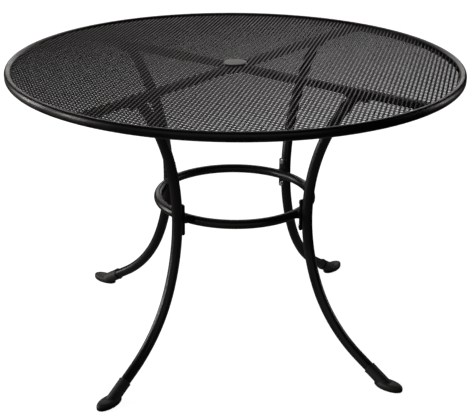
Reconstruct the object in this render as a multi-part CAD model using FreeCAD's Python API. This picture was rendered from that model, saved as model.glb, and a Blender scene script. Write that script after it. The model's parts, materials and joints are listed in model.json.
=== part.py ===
"""Round patio table with an umbrella hole, in millimetres.

A steel tube rim holds a sheet of expanded metal. Four arms under the sheet run from
the rim to a collar round the umbrella hole. Four bent tube legs hang from the arms,
and a brace ring joins the legs at their waist. The floor is z = 0 and the table's
upright axis is x = y = 0.
"""
import FreeCAD, Part
import math
import os

from FreeCAD import Vector

# Whole table
TABLE_DIAMETER = 1067.0
TABLE_HEIGHT = 711.0
FIRST_LEG_AZIMUTH = 45.0
LEG_NAMES = ["back_right", "back_left", "front_left", "front_right"]

# Rim: an oval tube, rolled into a ring
RIM_WIDTH = 16.0
RIM_DEPTH = 22.0
RIM_WALL = 1.5
RIM_TURNS = 24

# Mesh: the sheet has far finer diamonds, and these keep their shape and slant
MESH_DROP = 5.0
MESH_THICKNESS = 2.0
MESH_SEAT_GAP = 0.15
DIAMOND_LENGTH = 113.0
DIAMOND_WIDTH = 56.5
DIAMOND_AZIMUTH = 43.0
STRAND_WIDTH = 13.0
MESH_EDGE_BAND = 5.0
SMALLEST_GAP_AREA = 150.0

# Arms: box tubes under the mesh
ARM_WIDTH = 20.0
ARM_DEPTH = 15.0
ARM_WALL = 1.5
ARM_CORNER_RADIUS = 2.0
ARM_SHORT_OF_RIM_MIDDLE = 4.0

# Umbrella hole: steel collar, plastic bush and plug
POLE_BORE_DIAMETER = 40.0
BUSH_WALL = 2.5
BUSH_FLANGE_WIDTH = 2.5
BUSH_FLANGE_THICKNESS = 1.2
BUSH_BELOW_COLLAR = 2.0
COLLAR_WALL = 4.0
COLLAR_LENGTH = 15.0
COLLAR_FIT_GAP = 0.1
CAP_DIAMETER = 52.0
CAP_THICKNESS = 2.6
CAP_EDGE_RADIUS = 1.0
CAP_SKIRT_LENGTH = 8.0
CAP_SKIRT_WALL = 1.8
CAP_FIT_GAP = 0.3
CAP_SEAT_WALL = 1.3
CAP_SEAT_CLEARANCE = 1.0

# Legs: each is one bent round tube
LEG_DIAMETER = 25.0
LEG_WALL = 1.5
LEG_TOP_RADIUS = 331.0
LEG_END_RADIUS = 439.0
LEG_END_HEIGHT = 16.0
LEG_END_STRAIGHT = 72.5
LEG_END_SLOPE = 58.0
LEG_SHIN_SLOPE = 22.0
WAIST_ABOVE_RING = 6.0
LEG_TOP_TRIM = 37.5

# Plates that carry the arms on the legs
TOP_PLATE_THICKNESS = 4.0
TOP_PLATE_WIDTH = 26.0
TOP_PLATE_INSIDE = 25.0
TOP_PLATE_PAST_BOLT = 10.0
TOP_PLATE_CORNER = 4.0
TOP_BOLT_OUTSIDE = 26.0
TOP_WASHER_CLEARANCE = 1.0

# Brace ring and its plates
RING_RADIUS = 187.0
RING_DIAMETER = 22.0
RING_WALL = 1.5
RING_HEIGHT = 374.0
RING_VENT_DIAMETER = 4.0
RING_TO_LEG = 5.5
BRACE_PLATE_LENGTH = 77.0
BRACE_PLATE_WIDTH = 20.0
BRACE_PLATE_THICKNESS = 4.0
BRACE_PLATE_CORNER = 4.0
SADDLE_DEPTH = 1.0
LUG_HEIGHT = 18.0
LUG_CRADLE_DEPTH = 3.0
BRACE_BOLT_SPACING = 61.0

# Fasteners
TOP_BOLT_DIAMETER = 8.0
TOP_BOLT_LENGTH = 16.0
TOP_HEAD_FLATS = 13.0
TOP_HEAD_HEIGHT = 5.3
TOP_WASHER_DIAMETER = 16.0
TOP_NUT_HEIGHT = 6.5
BRACE_BOLT_DIAMETER = 6.0
BRACE_BOLT_LENGTH = 15.0
BRACE_HEAD_FLATS = 10.0
BRACE_HEAD_HEIGHT = 4.0
BRACE_WASHER_DIAMETER = 12.0
WASHER_THICKNESS = 1.6
BOLT_HOLE_GAP = 0.5
THREAD_GAP = 0.05
RIVET_NUT_DIAMETER = 9.0
RIVET_NUT_LENGTH = 11.0
RIVET_BULGE_DIAMETER = 12.0
RIVET_BULGE_LENGTH = 2.5
RIVET_BULGE_SETBACK = 2.2

# Foot caps
FOOT_SLEEVE_WALL = 2.2
FOOT_SLEEVE_LENGTH = 38.0
FOOT_TOE_RUN = 24.0
FOOT_FIT_GAP = 0.1
FOOT_PAD_LENGTH = 74.0
FOOT_PAD_WIDTH = 36.0
FOOT_PAD_HEIGHT = 16.0
FOOT_HEEL_INSIDE = 15.0
FOOT_TOP_ROUND = 6.0
FOOT_SOLE_ROUND = 2.5

# Limits for picking edges: how well an edge lines up with an axis, how flat one lies
LINED_UP = 0.99
LIES_FLAT = 0.01

# Places worked out from the sizes
RIM_RADIUS = (TABLE_DIAMETER - RIM_WIDTH) / 2
RIM_HEIGHT = TABLE_HEIGHT - RIM_DEPTH / 2
MESH_TOP = TABLE_HEIGHT - MESH_DROP
MESH_UNDERSIDE = MESH_TOP - MESH_THICKNESS
ARM_UNDERSIDE = MESH_UNDERSIDE - ARM_DEPTH
TOP_PLATE_UNDERSIDE = ARM_UNDERSIDE - TOP_PLATE_THICKNESS
BUSH_RADIUS = POLE_BORE_DIAMETER / 2 + BUSH_WALL
COLLAR_BORE_RADIUS = BUSH_RADIUS + COLLAR_FIT_GAP
COLLAR_RADIUS = COLLAR_BORE_RADIUS + COLLAR_WALL
COLLAR_UNDERSIDE = MESH_UNDERSIDE - COLLAR_LENGTH
BUSH_UNDERSIDE = COLLAR_UNDERSIDE - BUSH_BELOW_COLLAR
CAP_SEAT = MESH_TOP + BUSH_FLANGE_THICKNESS
CAP_SEAT_RADIUS = BUSH_RADIUS - CAP_SEAT_WALL
LEG_RADIUS = LEG_DIAMETER / 2
WAIST_RADIUS = RING_RADIUS + RING_DIAMETER / 2 + RING_TO_LEG + LEG_RADIUS
WAIST_HEIGHT = RING_HEIGHT + WAIST_ABOVE_RING
LEG_INNER_FACE = WAIST_RADIUS - LEG_RADIUS
BRACE_PLATE_FACE = LEG_INNER_FACE - BRACE_PLATE_THICKNESS

UP = Vector(0, 0, 1)
DOWN = Vector(0, 0, -1)
OUTWARD = Vector(1, 0, 0)
ACROSS = Vector(0, 1, 0)
TABLE_AXIS = Vector(0, 0, 0)


def cylinder(radius, length, base, direction):
    """A plain cylinder from its base point along a direction."""
    return Part.makeCylinder(radius, length, base, direction)


def ring_of(outer_radius, inner_radius, length, base, direction):
    """A tube or washer with straight walls."""
    outer = cylinder(outer_radius, length, base, direction)
    return outer.cut(cylinder(inner_radius, length, base, direction))


def stadium_wire(width, depth, centre):
    """An upright oval in the XZ plane: two half circles joined by short flats."""
    radius = width / 2
    flat = depth / 2 - radius
    top = centre + UP * flat
    low = centre - UP * flat
    over = Part.Arc(top - OUTWARD * radius, top + UP * radius, top + OUTWARD * radius).toShape()
    under = Part.Arc(low + OUTWARD * radius, low - UP * radius, low - OUTWARD * radius).toShape()
    outer_flat = Part.makeLine(top + OUTWARD * radius, low + OUTWARD * radius)
    inner_flat = Part.makeLine(low - OUTWARD * radius, top - OUTWARD * radius)
    return Part.Wire([over, outer_flat, under, inner_flat])


def rim_envelope():
    """The rim's oval swept round the table as a full body, to trim the arms with."""
    wire = stadium_wire(RIM_WIDTH, RIM_DEPTH, Vector(RIM_RADIUS, 0, RIM_HEIGHT))
    return Part.Face(wire).revolve(TABLE_AXIS, UP, 360)


def rim_tube():
    """The hollow rim, rolled in equal short turns that join into one closed ring."""
    centre = Vector(RIM_RADIUS, 0, RIM_HEIGHT)
    outer = stadium_wire(RIM_WIDTH, RIM_DEPTH, centre)
    inner = stadium_wire(RIM_WIDTH - 2 * RIM_WALL, RIM_DEPTH - 2 * RIM_WALL, centre)
    section = Part.makeFace([outer, inner], "Part::FaceMakerBullseye")
    angle = 360 / RIM_TURNS
    first = section.revolve(TABLE_AXIS, UP, angle)
    turns = [turned(first, angle * index) for index in range(RIM_TURNS)]
    return turns[0].fuse(turns[1:])


def mesh_radius():
    """The radius at which the sheet's lower edge meets the rim's inside."""
    half_width = RIM_WIDTH / 2
    above_flat = max(0.0, MESH_UNDERSIDE - RIM_HEIGHT - (RIM_DEPTH / 2 - half_width))
    reach = math.sqrt(half_width ** 2 - above_flat ** 2)
    return RIM_RADIUS - reach - MESH_SEAT_GAP


def diamond_gap(along, across):
    """One diamond-shaped gap, as points, with its middle at a place in the sheet."""
    azimuth = math.radians(DIAMOND_AZIMUTH)
    slant = math.hypot(DIAMOND_LENGTH, DIAMOND_WIDTH)
    half_length = (DIAMOND_LENGTH - STRAND_WIDTH * slant / DIAMOND_WIDTH) / 2
    half_width = (DIAMOND_WIDTH - STRAND_WIDTH * slant / DIAMOND_LENGTH) / 2
    points = []
    for step_along, step_across in ((half_length, 0), (0, half_width), (-half_length, 0), (0, -half_width)):
        u = along + step_along
        v = across + step_across
        x = u * math.cos(azimuth) - v * math.sin(azimuth)
        y = u * math.sin(azimuth) + v * math.cos(azimuth)
        points.append(Vector(x, y, MESH_UNDERSIDE))
    return points


def circle_wire(radius, height):
    """A level circle round the table's axis."""
    return Part.Wire(Part.Circle(Vector(0, 0, height), UP, radius).toShape())


def mesh_gaps():
    """The wires of all gaps, cut off at the edge band and at the umbrella hole's band."""
    outer_limit = mesh_radius() - MESH_EDGE_BAND
    inner_limit = COLLAR_RADIUS + MESH_EDGE_BAND
    limits = [circle_wire(outer_limit, MESH_UNDERSIDE), circle_wire(inner_limit, MESH_UNDERSIDE)]
    field = Part.makeFace(limits, "Part::FaceMakerBullseye")
    rows = int(2 * outer_limit / DIAMOND_WIDTH) + 2
    columns = int(2 * outer_limit / DIAMOND_LENGTH) + 2
    wires = []
    for row in range(-rows, rows + 1):
        for column in range(-columns, columns + 1):
            shift = 0.5 if row % 2 else 0.0
            points = diamond_gap((column + shift) * DIAMOND_LENGTH, row * DIAMOND_WIDTH / 2)
            reaches = [math.hypot(point.x, point.y) for point in points]
            middle = (points[0] + points[2]) / 2
            far_in = math.hypot(middle.x, middle.y) - DIAMOND_LENGTH / 2
            if min(reaches) > outer_limit and far_in > outer_limit:
                continue
            outline = Part.makePolygon(points + points[:1])
            if max(reaches) < outer_limit and far_in > inner_limit:
                wires.append(outline)
                continue
            for piece in Part.Face(outline).common(field).Faces:
                if piece.Area > SMALLEST_GAP_AREA:
                    wires.append(piece.OuterWire)
    return wires


def mesh_panel():
    """The sheet, made as one face with all its gaps and then given its thickness."""
    edge = circle_wire(mesh_radius(), MESH_UNDERSIDE)
    hole = circle_wire(COLLAR_BORE_RADIUS, MESH_UNDERSIDE)
    gaps = mesh_gaps()
    print("mesh gaps", len(gaps))
    face = Part.makeFace([edge, hole] + gaps, "Part::FaceMakerBullseye")
    return face.extrude(UP * MESH_THICKNESS)


def rounded_bar(width, depth, corner, start, length):
    """A bar along the outward direction with rounded long edges."""
    box = Part.makeBox(length, width, depth, start - ACROSS * (width / 2))
    long_edges = [edge for edge in box.Edges if abs(edge.tangentAt(edge.FirstParameter).x) > LINED_UP]
    return box.makeFillet(corner, long_edges)


def support_arm():
    """One box tube from the collar to the rim, its ends cut to fit both."""
    start = Vector(0, 0, ARM_UNDERSIDE)
    length = RIM_RADIUS - ARM_SHORT_OF_RIM_MIDDLE
    outside = rounded_bar(ARM_WIDTH, ARM_DEPTH, ARM_CORNER_RADIUS, start, length)
    bore = Part.makeBox(RIM_RADIUS, ARM_WIDTH - 2 * ARM_WALL, ARM_DEPTH - 2 * ARM_WALL,
                        Vector(0, -ARM_WIDTH / 2 + ARM_WALL, ARM_UNDERSIDE + ARM_WALL))
    collar = cylinder(COLLAR_RADIUS, COLLAR_LENGTH, Vector(0, 0, COLLAR_UNDERSIDE), UP)
    bolt_hole = cylinder(TOP_BOLT_DIAMETER / 2 + BOLT_HOLE_GAP, ARM_DEPTH / 2,
                         Vector(top_bolt_radius(), 0, ARM_UNDERSIDE), UP)
    return outside.cut(bore).cut(rim_envelope()).cut(collar).cut(bolt_hole)


def pole_collar():
    """The steel ring that the arms are welded to."""
    return ring_of(COLLAR_RADIUS, COLLAR_BORE_RADIUS, COLLAR_LENGTH, Vector(0, 0, COLLAR_UNDERSIDE), UP)


def pole_bush():
    """The plastic sleeve: a flange on the sheet, a wide seat for the cap and the pole bore."""
    length = CAP_SEAT - BUSH_UNDERSIDE
    body = cylinder(BUSH_RADIUS, length, Vector(0, 0, BUSH_UNDERSIDE), UP)
    flange = cylinder(BUSH_RADIUS + BUSH_FLANGE_WIDTH, BUSH_FLANGE_THICKNESS, Vector(0, 0, MESH_TOP), UP)
    bore = cylinder(POLE_BORE_DIAMETER / 2, length, Vector(0, 0, BUSH_UNDERSIDE), UP)
    seat_depth = CAP_SKIRT_LENGTH + CAP_SEAT_CLEARANCE
    seat = cylinder(CAP_SEAT_RADIUS, seat_depth, Vector(0, 0, CAP_SEAT - seat_depth), UP)
    return body.fuse(flange).cut(bore).cut(seat).removeSplitter()


def umbrella_hole_cap():
    """The plug: a flat head with a softened edge, and a skirt that drops into the bush."""
    seat = Vector(0, 0, CAP_SEAT)
    head = cylinder(CAP_DIAMETER / 2, CAP_THICKNESS, seat, UP)
    top_edge = [edge for edge in head.Edges if edge.BoundBox.ZMin > CAP_SEAT + CAP_THICKNESS / 2]
    head = head.makeFillet(CAP_EDGE_RADIUS, top_edge)
    skirt_radius = CAP_SEAT_RADIUS - CAP_FIT_GAP
    skirt = ring_of(skirt_radius, skirt_radius - CAP_SKIRT_WALL, CAP_SKIRT_LENGTH, seat, DOWN)
    return head.fuse(skirt).removeSplitter()


def leg_bends():
    """The radii of a leg's three bends: thigh, shin and ankle.

    The thigh bend runs from the waist to the top plate. Below the waist two bends and a
    straight end have to reach the leg's end, which gives two equations for two radii.
    """
    rise = TOP_PLATE_UNDERSIDE - WAIST_HEIGHT
    spread = LEG_TOP_RADIUS - WAIST_RADIUS
    thigh = (rise ** 2 + spread ** 2) / (2 * spread)
    shin_slope = math.radians(LEG_SHIN_SLOPE)
    end_slope = math.radians(LEG_END_SLOPE)
    reach = LEG_END_RADIUS - WAIST_RADIUS - LEG_END_STRAIGHT * math.sin(end_slope)
    drop = WAIST_HEIGHT - LEG_END_HEIGHT - LEG_END_STRAIGHT * math.cos(end_slope)
    a = 1 - math.cos(shin_slope)
    b = math.cos(shin_slope) - math.cos(end_slope)
    c = math.sin(shin_slope)
    d = math.sin(end_slope) - math.sin(shin_slope)
    determinant = a * d - b * c
    shin = (reach * d - b * drop) / determinant
    ankle = (a * drop - c * reach) / determinant
    return thigh, shin, ankle


def top_bolt_radius():
    """How far out the top bolts stand: a set way outside the leg's middle, or farther out
    where the leg leans so much that a washer would touch its outer side."""
    thigh = leg_bends()[0]
    rise = TOP_PLATE_UNDERSIDE - WAIST_HEIGHT
    leg_outer_side = WAIST_RADIUS + thigh - math.sqrt((thigh - LEG_RADIUS) ** 2 - rise ** 2)
    washer_room = TOP_WASHER_CLEARANCE + TOP_WASHER_DIAMETER / 2
    return max(LEG_TOP_RADIUS + TOP_BOLT_OUTSIDE, leg_outer_side + washer_room)


def tube_section(outer_radius, inner_radius, centre, direction):
    """A tube's cross-section as a face, solid where the inner radius is zero."""
    outer = Part.Wire(Part.Circle(centre, direction, outer_radius).toShape())
    if inner_radius == 0:
        return Part.Face(outer)
    inner = Part.Wire(Part.Circle(centre, direction, inner_radius).toShape())
    return Part.makeFace([outer, inner], "Part::FaceMakerBullseye")


def leg_run(outer_radius, inner_radius):
    """The whole bent tube, in the upright plane through the table's axis, cut flat at its top."""
    thigh, shin, ankle = leg_bends()
    waist = Vector(WAIST_RADIUS, 0, WAIST_HEIGHT)
    climb = math.asin((TOP_PLATE_UNDERSIDE - WAIST_HEIGHT) / thigh)
    rise_angle = math.degrees(climb + LEG_TOP_TRIM / thigh)
    upper = tube_section(outer_radius, inner_radius, waist, UP)
    upper = upper.revolve(waist + OUTWARD * thigh, ACROSS, rise_angle)
    lower = tube_section(outer_radius, inner_radius, waist, UP)
    lower = lower.revolve(waist + OUTWARD * shin, ACROSS, -LEG_SHIN_SLOPE)
    shin_slope = math.radians(LEG_SHIN_SLOPE)
    knee = waist + Vector(shin * (1 - math.cos(shin_slope)), 0, -shin * math.sin(shin_slope))
    knee_direction = Vector(math.sin(shin_slope), 0, -math.cos(shin_slope))
    bend_centre = knee + Vector(math.cos(shin_slope), 0, math.sin(shin_slope)) * ankle
    bend = tube_section(outer_radius, inner_radius, knee, knee_direction)
    bend = bend.revolve(bend_centre, ACROSS, LEG_SHIN_SLOPE - LEG_END_SLOPE)
    end_direction = leg_end_direction()
    straight_start = leg_end() - end_direction * LEG_END_STRAIGHT
    straight = tube_section(outer_radius, inner_radius, straight_start, end_direction)
    straight = straight.extrude(end_direction * LEG_END_STRAIGHT)
    above = Part.makeBox(TABLE_DIAMETER, TABLE_DIAMETER, TABLE_HEIGHT,
                         Vector(0, -TABLE_DIAMETER / 2, TOP_PLATE_UNDERSIDE))
    return upper.cut(above).fuse([lower, bend, straight]).removeSplitter()


def leg_end_direction():
    """The way the straight lower end of a leg points, outward and down."""
    slope = math.radians(LEG_END_SLOPE)
    return Vector(math.sin(slope), 0, -math.cos(slope))


def leg_end():
    """The middle of the tube's lower end."""
    return Vector(LEG_END_RADIUS, 0, LEG_END_HEIGHT)


def brace_bolt_heights():
    """The heights of the two bolts of a brace plate."""
    return [RING_HEIGHT - BRACE_BOLT_SPACING / 2, RING_HEIGHT + BRACE_BOLT_SPACING / 2]


def leg(solid_run):
    """One leg: the hollow tube with the two holes for its rivet nuts."""
    bore = leg_run(LEG_RADIUS - LEG_WALL, 0)
    tube = solid_run.cut(bore)
    for height in brace_bolt_heights():
        start = Vector(LEG_INNER_FACE - LEG_RADIUS, 0, height)
        tube = tube.cut(cylinder(RIVET_NUT_DIAMETER / 2 + THREAD_GAP, LEG_DIAMETER, start, OUTWARD))
    return tube


def top_plate():
    """The plate welded on a leg's top, with the bolt hole outside the leg."""
    inner_end = LEG_TOP_RADIUS - TOP_PLATE_INSIDE
    length = top_bolt_radius() + TOP_PLATE_PAST_BOLT - inner_end
    start = Vector(inner_end, -TOP_PLATE_WIDTH / 2, TOP_PLATE_UNDERSIDE)
    plate = Part.makeBox(length, TOP_PLATE_WIDTH, TOP_PLATE_THICKNESS, start)
    corners = [edge for edge in plate.Edges if abs(edge.tangentAt(edge.FirstParameter).z) > LINED_UP]
    plate = plate.makeFillet(TOP_PLATE_CORNER, corners)
    hole = cylinder(TOP_BOLT_DIAMETER / 2 + BOLT_HOLE_GAP, TOP_PLATE_THICKNESS,
                    Vector(top_bolt_radius(), 0, TOP_PLATE_UNDERSIDE), UP)
    return plate.cut(hole)


def hexagon(flats, height, base, direction):
    """A hexagonal prism, its corners trimmed round by its own outer circle's chamfer."""
    corner_radius = flats / math.sqrt(3)
    points = []
    for corner in range(7):
        angle = math.radians(60 * corner)
        points.append(Vector(corner_radius * math.cos(angle), corner_radius * math.sin(angle), 0))
    prism = Part.Face(Part.makePolygon(points)).extrude(UP * height)
    trim = cylinder(corner_radius, height, Vector(0, 0, 0), UP)
    outer_edge = [edge for edge in trim.Edges if edge.BoundBox.ZMin > height / 2]
    prism = prism.common(trim.makeChamfer((corner_radius * 2 - flats) / 2, outer_edge))
    prism.Placement = FreeCAD.Placement(base, FreeCAD.Rotation(UP, direction))
    return prism


def bolt(diameter, length, flats, head_height, seat, direction):
    """A hexagon bolt whose head's underside lies on a seat point and whose shank goes along a direction."""
    head = hexagon(flats, head_height, seat, direction * -1)
    shank = cylinder(diameter / 2, length, seat, direction)
    return head.fuse(shank).removeSplitter()


def top_fasteners():
    """The bolt, washer and weld nut that hold one arm to one leg."""
    washer_base = Vector(top_bolt_radius(), 0, TOP_PLATE_UNDERSIDE - WASHER_THICKNESS)
    nut_base = Vector(top_bolt_radius(), 0, ARM_UNDERSIDE + ARM_WALL)
    hole_radius = TOP_BOLT_DIAMETER / 2 + BOLT_HOLE_GAP
    screw = bolt(TOP_BOLT_DIAMETER, TOP_BOLT_LENGTH, TOP_HEAD_FLATS, TOP_HEAD_HEIGHT, washer_base, UP)
    washer = ring_of(TOP_WASHER_DIAMETER / 2, hole_radius, WASHER_THICKNESS, washer_base, UP)
    thread = cylinder(TOP_BOLT_DIAMETER / 2 + THREAD_GAP, TOP_NUT_HEIGHT, nut_base, UP)
    nut = hexagon(TOP_HEAD_FLATS, TOP_NUT_HEIGHT, nut_base, UP).cut(thread)
    return screw, washer, nut


def brace_ring():
    """The rolled tube ring, with a vent hole in its underside."""
    centre = Vector(RING_RADIUS, 0, RING_HEIGHT)
    section = tube_section(RING_DIAMETER / 2, RING_DIAMETER / 2 - RING_WALL, centre, ACROSS)
    vent = cylinder(RING_VENT_DIAMETER / 2, RING_DIAMETER, Vector(0, RING_RADIUS, RING_HEIGHT), DOWN)
    return section.revolve(TABLE_AXIS, UP, 360).cut(vent)


def brace_plate(leg_solid):
    """The upright plate on a leg's inner side, with the lug that cradles the ring."""
    depth = BRACE_PLATE_THICKNESS + SADDLE_DEPTH
    low = RING_HEIGHT - BRACE_PLATE_LENGTH / 2
    plate = Part.makeBox(depth, BRACE_PLATE_WIDTH, BRACE_PLATE_LENGTH,
                         Vector(BRACE_PLATE_FACE, -BRACE_PLATE_WIDTH / 2, low))
    corners = [edge for edge in plate.Edges if abs(edge.tangentAt(edge.FirstParameter).x) > LINED_UP]
    plate = plate.makeFillet(BRACE_PLATE_CORNER, corners)
    lug_start = RING_RADIUS + RING_DIAMETER / 2 - LUG_CRADLE_DEPTH
    lug = Part.makeBox(BRACE_PLATE_FACE - lug_start, BRACE_PLATE_WIDTH, LUG_HEIGHT,
                       Vector(lug_start, -BRACE_PLATE_WIDTH / 2, RING_HEIGHT - LUG_HEIGHT / 2))
    ring_section = tube_section(RING_DIAMETER / 2, 0, Vector(RING_RADIUS, 0, RING_HEIGHT), ACROSS)
    piece = plate.fuse(lug).cut(ring_section.revolve(TABLE_AXIS, UP, 360)).cut(leg_solid)
    for height in brace_bolt_heights():
        start = Vector(BRACE_PLATE_FACE, 0, height)
        piece = piece.cut(cylinder(BRACE_BOLT_DIAMETER / 2 + BOLT_HOLE_GAP, depth, start, OUTWARD))
    return piece.removeSplitter()


def brace_fasteners(leg_solid, height):
    """The bolt, washer and rivet nut at one height of a brace plate."""
    seat = Vector(BRACE_PLATE_FACE - WASHER_THICKNESS, 0, height)
    screw = bolt(BRACE_BOLT_DIAMETER, BRACE_BOLT_LENGTH, BRACE_HEAD_FLATS, BRACE_HEAD_HEIGHT, seat, OUTWARD)
    washer = ring_of(BRACE_WASHER_DIAMETER / 2, BRACE_BOLT_DIAMETER / 2 + BOLT_HOLE_GAP,
                     WASHER_THICKNESS, seat, OUTWARD)
    nut_start = Vector(LEG_INNER_FACE, 0, height)
    body = cylinder(RIVET_NUT_DIAMETER / 2, RIVET_NUT_LENGTH, nut_start, OUTWARD)
    inner_radius = LEG_RADIUS - LEG_WALL
    bulge_radius = RIVET_BULGE_DIAMETER / 2
    behind_wall = WAIST_RADIUS - math.sqrt(inner_radius ** 2 - bulge_radius ** 2) + RIVET_BULGE_SETBACK
    bulge = cylinder(bulge_radius, RIVET_BULGE_LENGTH, Vector(behind_wall, 0, height), OUTWARD)
    thread_radius = BRACE_BOLT_DIAMETER / 2 + THREAD_GAP
    thread = cylinder(thread_radius, RIVET_NUT_LENGTH + LEG_RADIUS, nut_start, OUTWARD)
    nut = body.common(leg_solid).fuse(bulge).cut(thread)
    return screw, washer, nut


def foot_cap():
    """The moulded shoe: a sleeve on the tube's end and a long oval pad on the floor."""
    toe = LEG_END_RADIUS - FOOT_HEEL_INSIDE + FOOT_PAD_LENGTH
    middle = Vector(toe - FOOT_PAD_LENGTH / 2, 0, 0)
    outline = Part.Ellipse(middle, FOOT_PAD_LENGTH / 2, FOOT_PAD_WIDTH / 2).toShape()
    pad = Part.Face(Part.Wire(outline)).extrude(UP * FOOT_PAD_HEIGHT)
    rims = [edge for edge in pad.Edges if edge.BoundBox.ZLength < LIES_FLAT]
    top_rim = [edge for edge in rims if edge.BoundBox.ZMin > FOOT_PAD_HEIGHT / 2]
    pad = pad.makeFillet(FOOT_TOP_ROUND, top_rim)
    rims = [edge for edge in pad.Edges if edge.BoundBox.ZMax < LIES_FLAT]
    pad = pad.makeFillet(FOOT_SOLE_ROUND, rims)
    direction = leg_end_direction()
    sleeve_radius = LEG_RADIUS + FOOT_SLEEVE_WALL
    sleeve_top = leg_end() - direction * FOOT_SLEEVE_LENGTH
    sleeve = cylinder(sleeve_radius, FOOT_SLEEVE_LENGTH + FOOT_TOE_RUN, sleeve_top, direction)
    above_sole = Part.makeBox(TABLE_DIAMETER, TABLE_DIAMETER, TABLE_HEIGHT,
                              Vector(0, -TABLE_DIAMETER / 2, FOOT_SOLE_ROUND))
    socket = cylinder(LEG_RADIUS + FOOT_FIT_GAP, FOOT_SLEEVE_LENGTH, sleeve_top, direction)
    return pad.fuse(sleeve.common(above_sole)).cut(socket)


def turned(shape, azimuth):
    """A copy of a shape turned about the table's axis."""
    copy = shape.copy()
    copy.rotate(TABLE_AXIS, UP, azimuth)
    return copy


def save(name, shape):
    """Write one node and print how many solids and how much volume it has."""
    shape.exportStep("parts/" + name + ".step")
    print(name, "solids", len(shape.Solids), "volume", round(shape.Volume, 1), "valid", shape.isValid())


def main():
    os.makedirs("parts", exist_ok=True)
    save("rim_tube", rim_tube())
    save("mesh_panel", mesh_panel())
    save("pole_collar", pole_collar())
    save("pole_bush", pole_bush())
    save("umbrella_hole_cap", umbrella_hole_cap())
    save("brace_ring", brace_ring())

    solid_run = leg_run(LEG_RADIUS, 0)
    print("bend radii", [round(radius, 1) for radius in leg_bends()])
    per_leg = {
        "support_arm": support_arm(),
        "leg": leg(solid_run),
        "leg_top_plate": top_plate(),
        "brace_plate": brace_plate(solid_run),
        "foot_cap": foot_cap(),
    }
    top_set = top_fasteners()
    brace_sets = [brace_fasteners(solid_run, height) for height in brace_bolt_heights()]
    groups = {
        "top_bolts": [top_set[0]],
        "top_washers": [top_set[1]],
        "top_weld_nuts": [top_set[2]],
        "brace_bolts": [item[0] for item in brace_sets],
        "brace_washers": [item[1] for item in brace_sets],
        "brace_rivet_nuts": [item[2] for item in brace_sets],
    }
    azimuths = [FIRST_LEG_AZIMUTH + 360 / len(LEG_NAMES) * index for index in range(len(LEG_NAMES))]
    for name, azimuth in zip(LEG_NAMES, azimuths):
        for kind, shape in per_leg.items():
            save(kind + "_" + name, turned(shape, azimuth))
    for name, solids in groups.items():
        copies = [turned(solid, azimuth) for azimuth in azimuths for solid in solids]
        save(name, Part.makeCompound(copies))


main()
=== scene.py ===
"""A round patio table with an umbrella hole, dressed for its photograph.

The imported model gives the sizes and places. Each sub-assembly below builds its own visible
pieces round it, and all lengths are in metres unless a name says otherwise.
"""

import json
import logging
import math
from dataclasses import dataclass, field
from enum import Enum
from typing import Iterable, Sequence

import bmesh
import bpy
import numpy as np
from mathutils import Matrix, Vector

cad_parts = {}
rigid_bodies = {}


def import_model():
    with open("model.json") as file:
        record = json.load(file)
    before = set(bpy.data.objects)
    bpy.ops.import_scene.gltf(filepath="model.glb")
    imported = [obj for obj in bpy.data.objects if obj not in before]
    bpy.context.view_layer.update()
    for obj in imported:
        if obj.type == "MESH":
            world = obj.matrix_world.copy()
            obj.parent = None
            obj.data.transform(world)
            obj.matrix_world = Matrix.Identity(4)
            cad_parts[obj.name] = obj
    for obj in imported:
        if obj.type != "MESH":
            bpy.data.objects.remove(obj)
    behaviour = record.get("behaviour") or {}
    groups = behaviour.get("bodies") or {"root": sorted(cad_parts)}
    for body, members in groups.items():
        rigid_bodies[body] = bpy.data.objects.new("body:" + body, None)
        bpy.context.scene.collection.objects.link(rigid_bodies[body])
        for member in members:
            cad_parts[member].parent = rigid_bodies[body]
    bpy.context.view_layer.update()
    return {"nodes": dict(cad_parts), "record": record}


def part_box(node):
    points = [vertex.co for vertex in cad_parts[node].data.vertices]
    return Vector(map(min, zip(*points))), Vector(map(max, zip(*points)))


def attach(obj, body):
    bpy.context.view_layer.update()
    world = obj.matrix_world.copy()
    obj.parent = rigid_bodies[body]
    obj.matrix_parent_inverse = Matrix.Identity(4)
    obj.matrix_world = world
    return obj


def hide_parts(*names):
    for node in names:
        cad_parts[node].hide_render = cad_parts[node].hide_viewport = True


log = logging.getLogger("umbrella_table")

MM = 0.001
SHARP_ANGLE = math.radians(35)
SIDEWAYS = Vector((0, 1, 0))
# The strengths between which most of a noise pattern lies, for values and for colours.
NOISE_LIMITS = (0.3, 0.7)
RAMP_LIMITS = (0.32, 0.68)
# How far a weld bead stops short of an edge, and how many points lead it along one side.
BEAD_INSET = 1.0 * MM
BEAD_STEPS = 9
LEG_AZIMUTHS = {
    "back_right": 45.0,
    "back_left": 135.0,
    "front_left": 225.0,
    "front_right": 315.0,
}

Mesh = bpy.types.Mesh
Material = bpy.types.Material
Socket = bpy.types.NodeSocket
Spot = tuple[float, float]
Point = tuple[float, float, float]
Outline = list[Spot]
Faces = list[tuple[int, ...]]


class Slot(Enum):
    """The record's material slots."""

    FRAME = "frame_paint"
    BUSH = "bush_plastic"
    CAP = "cap_plastic"
    FOOT = "foot_rubber"
    ZINC = "bolt_zinc"


class Body(Enum):
    """The bodies that pieces ride on."""

    TABLE = "table"
    CAP = "cap"


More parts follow.
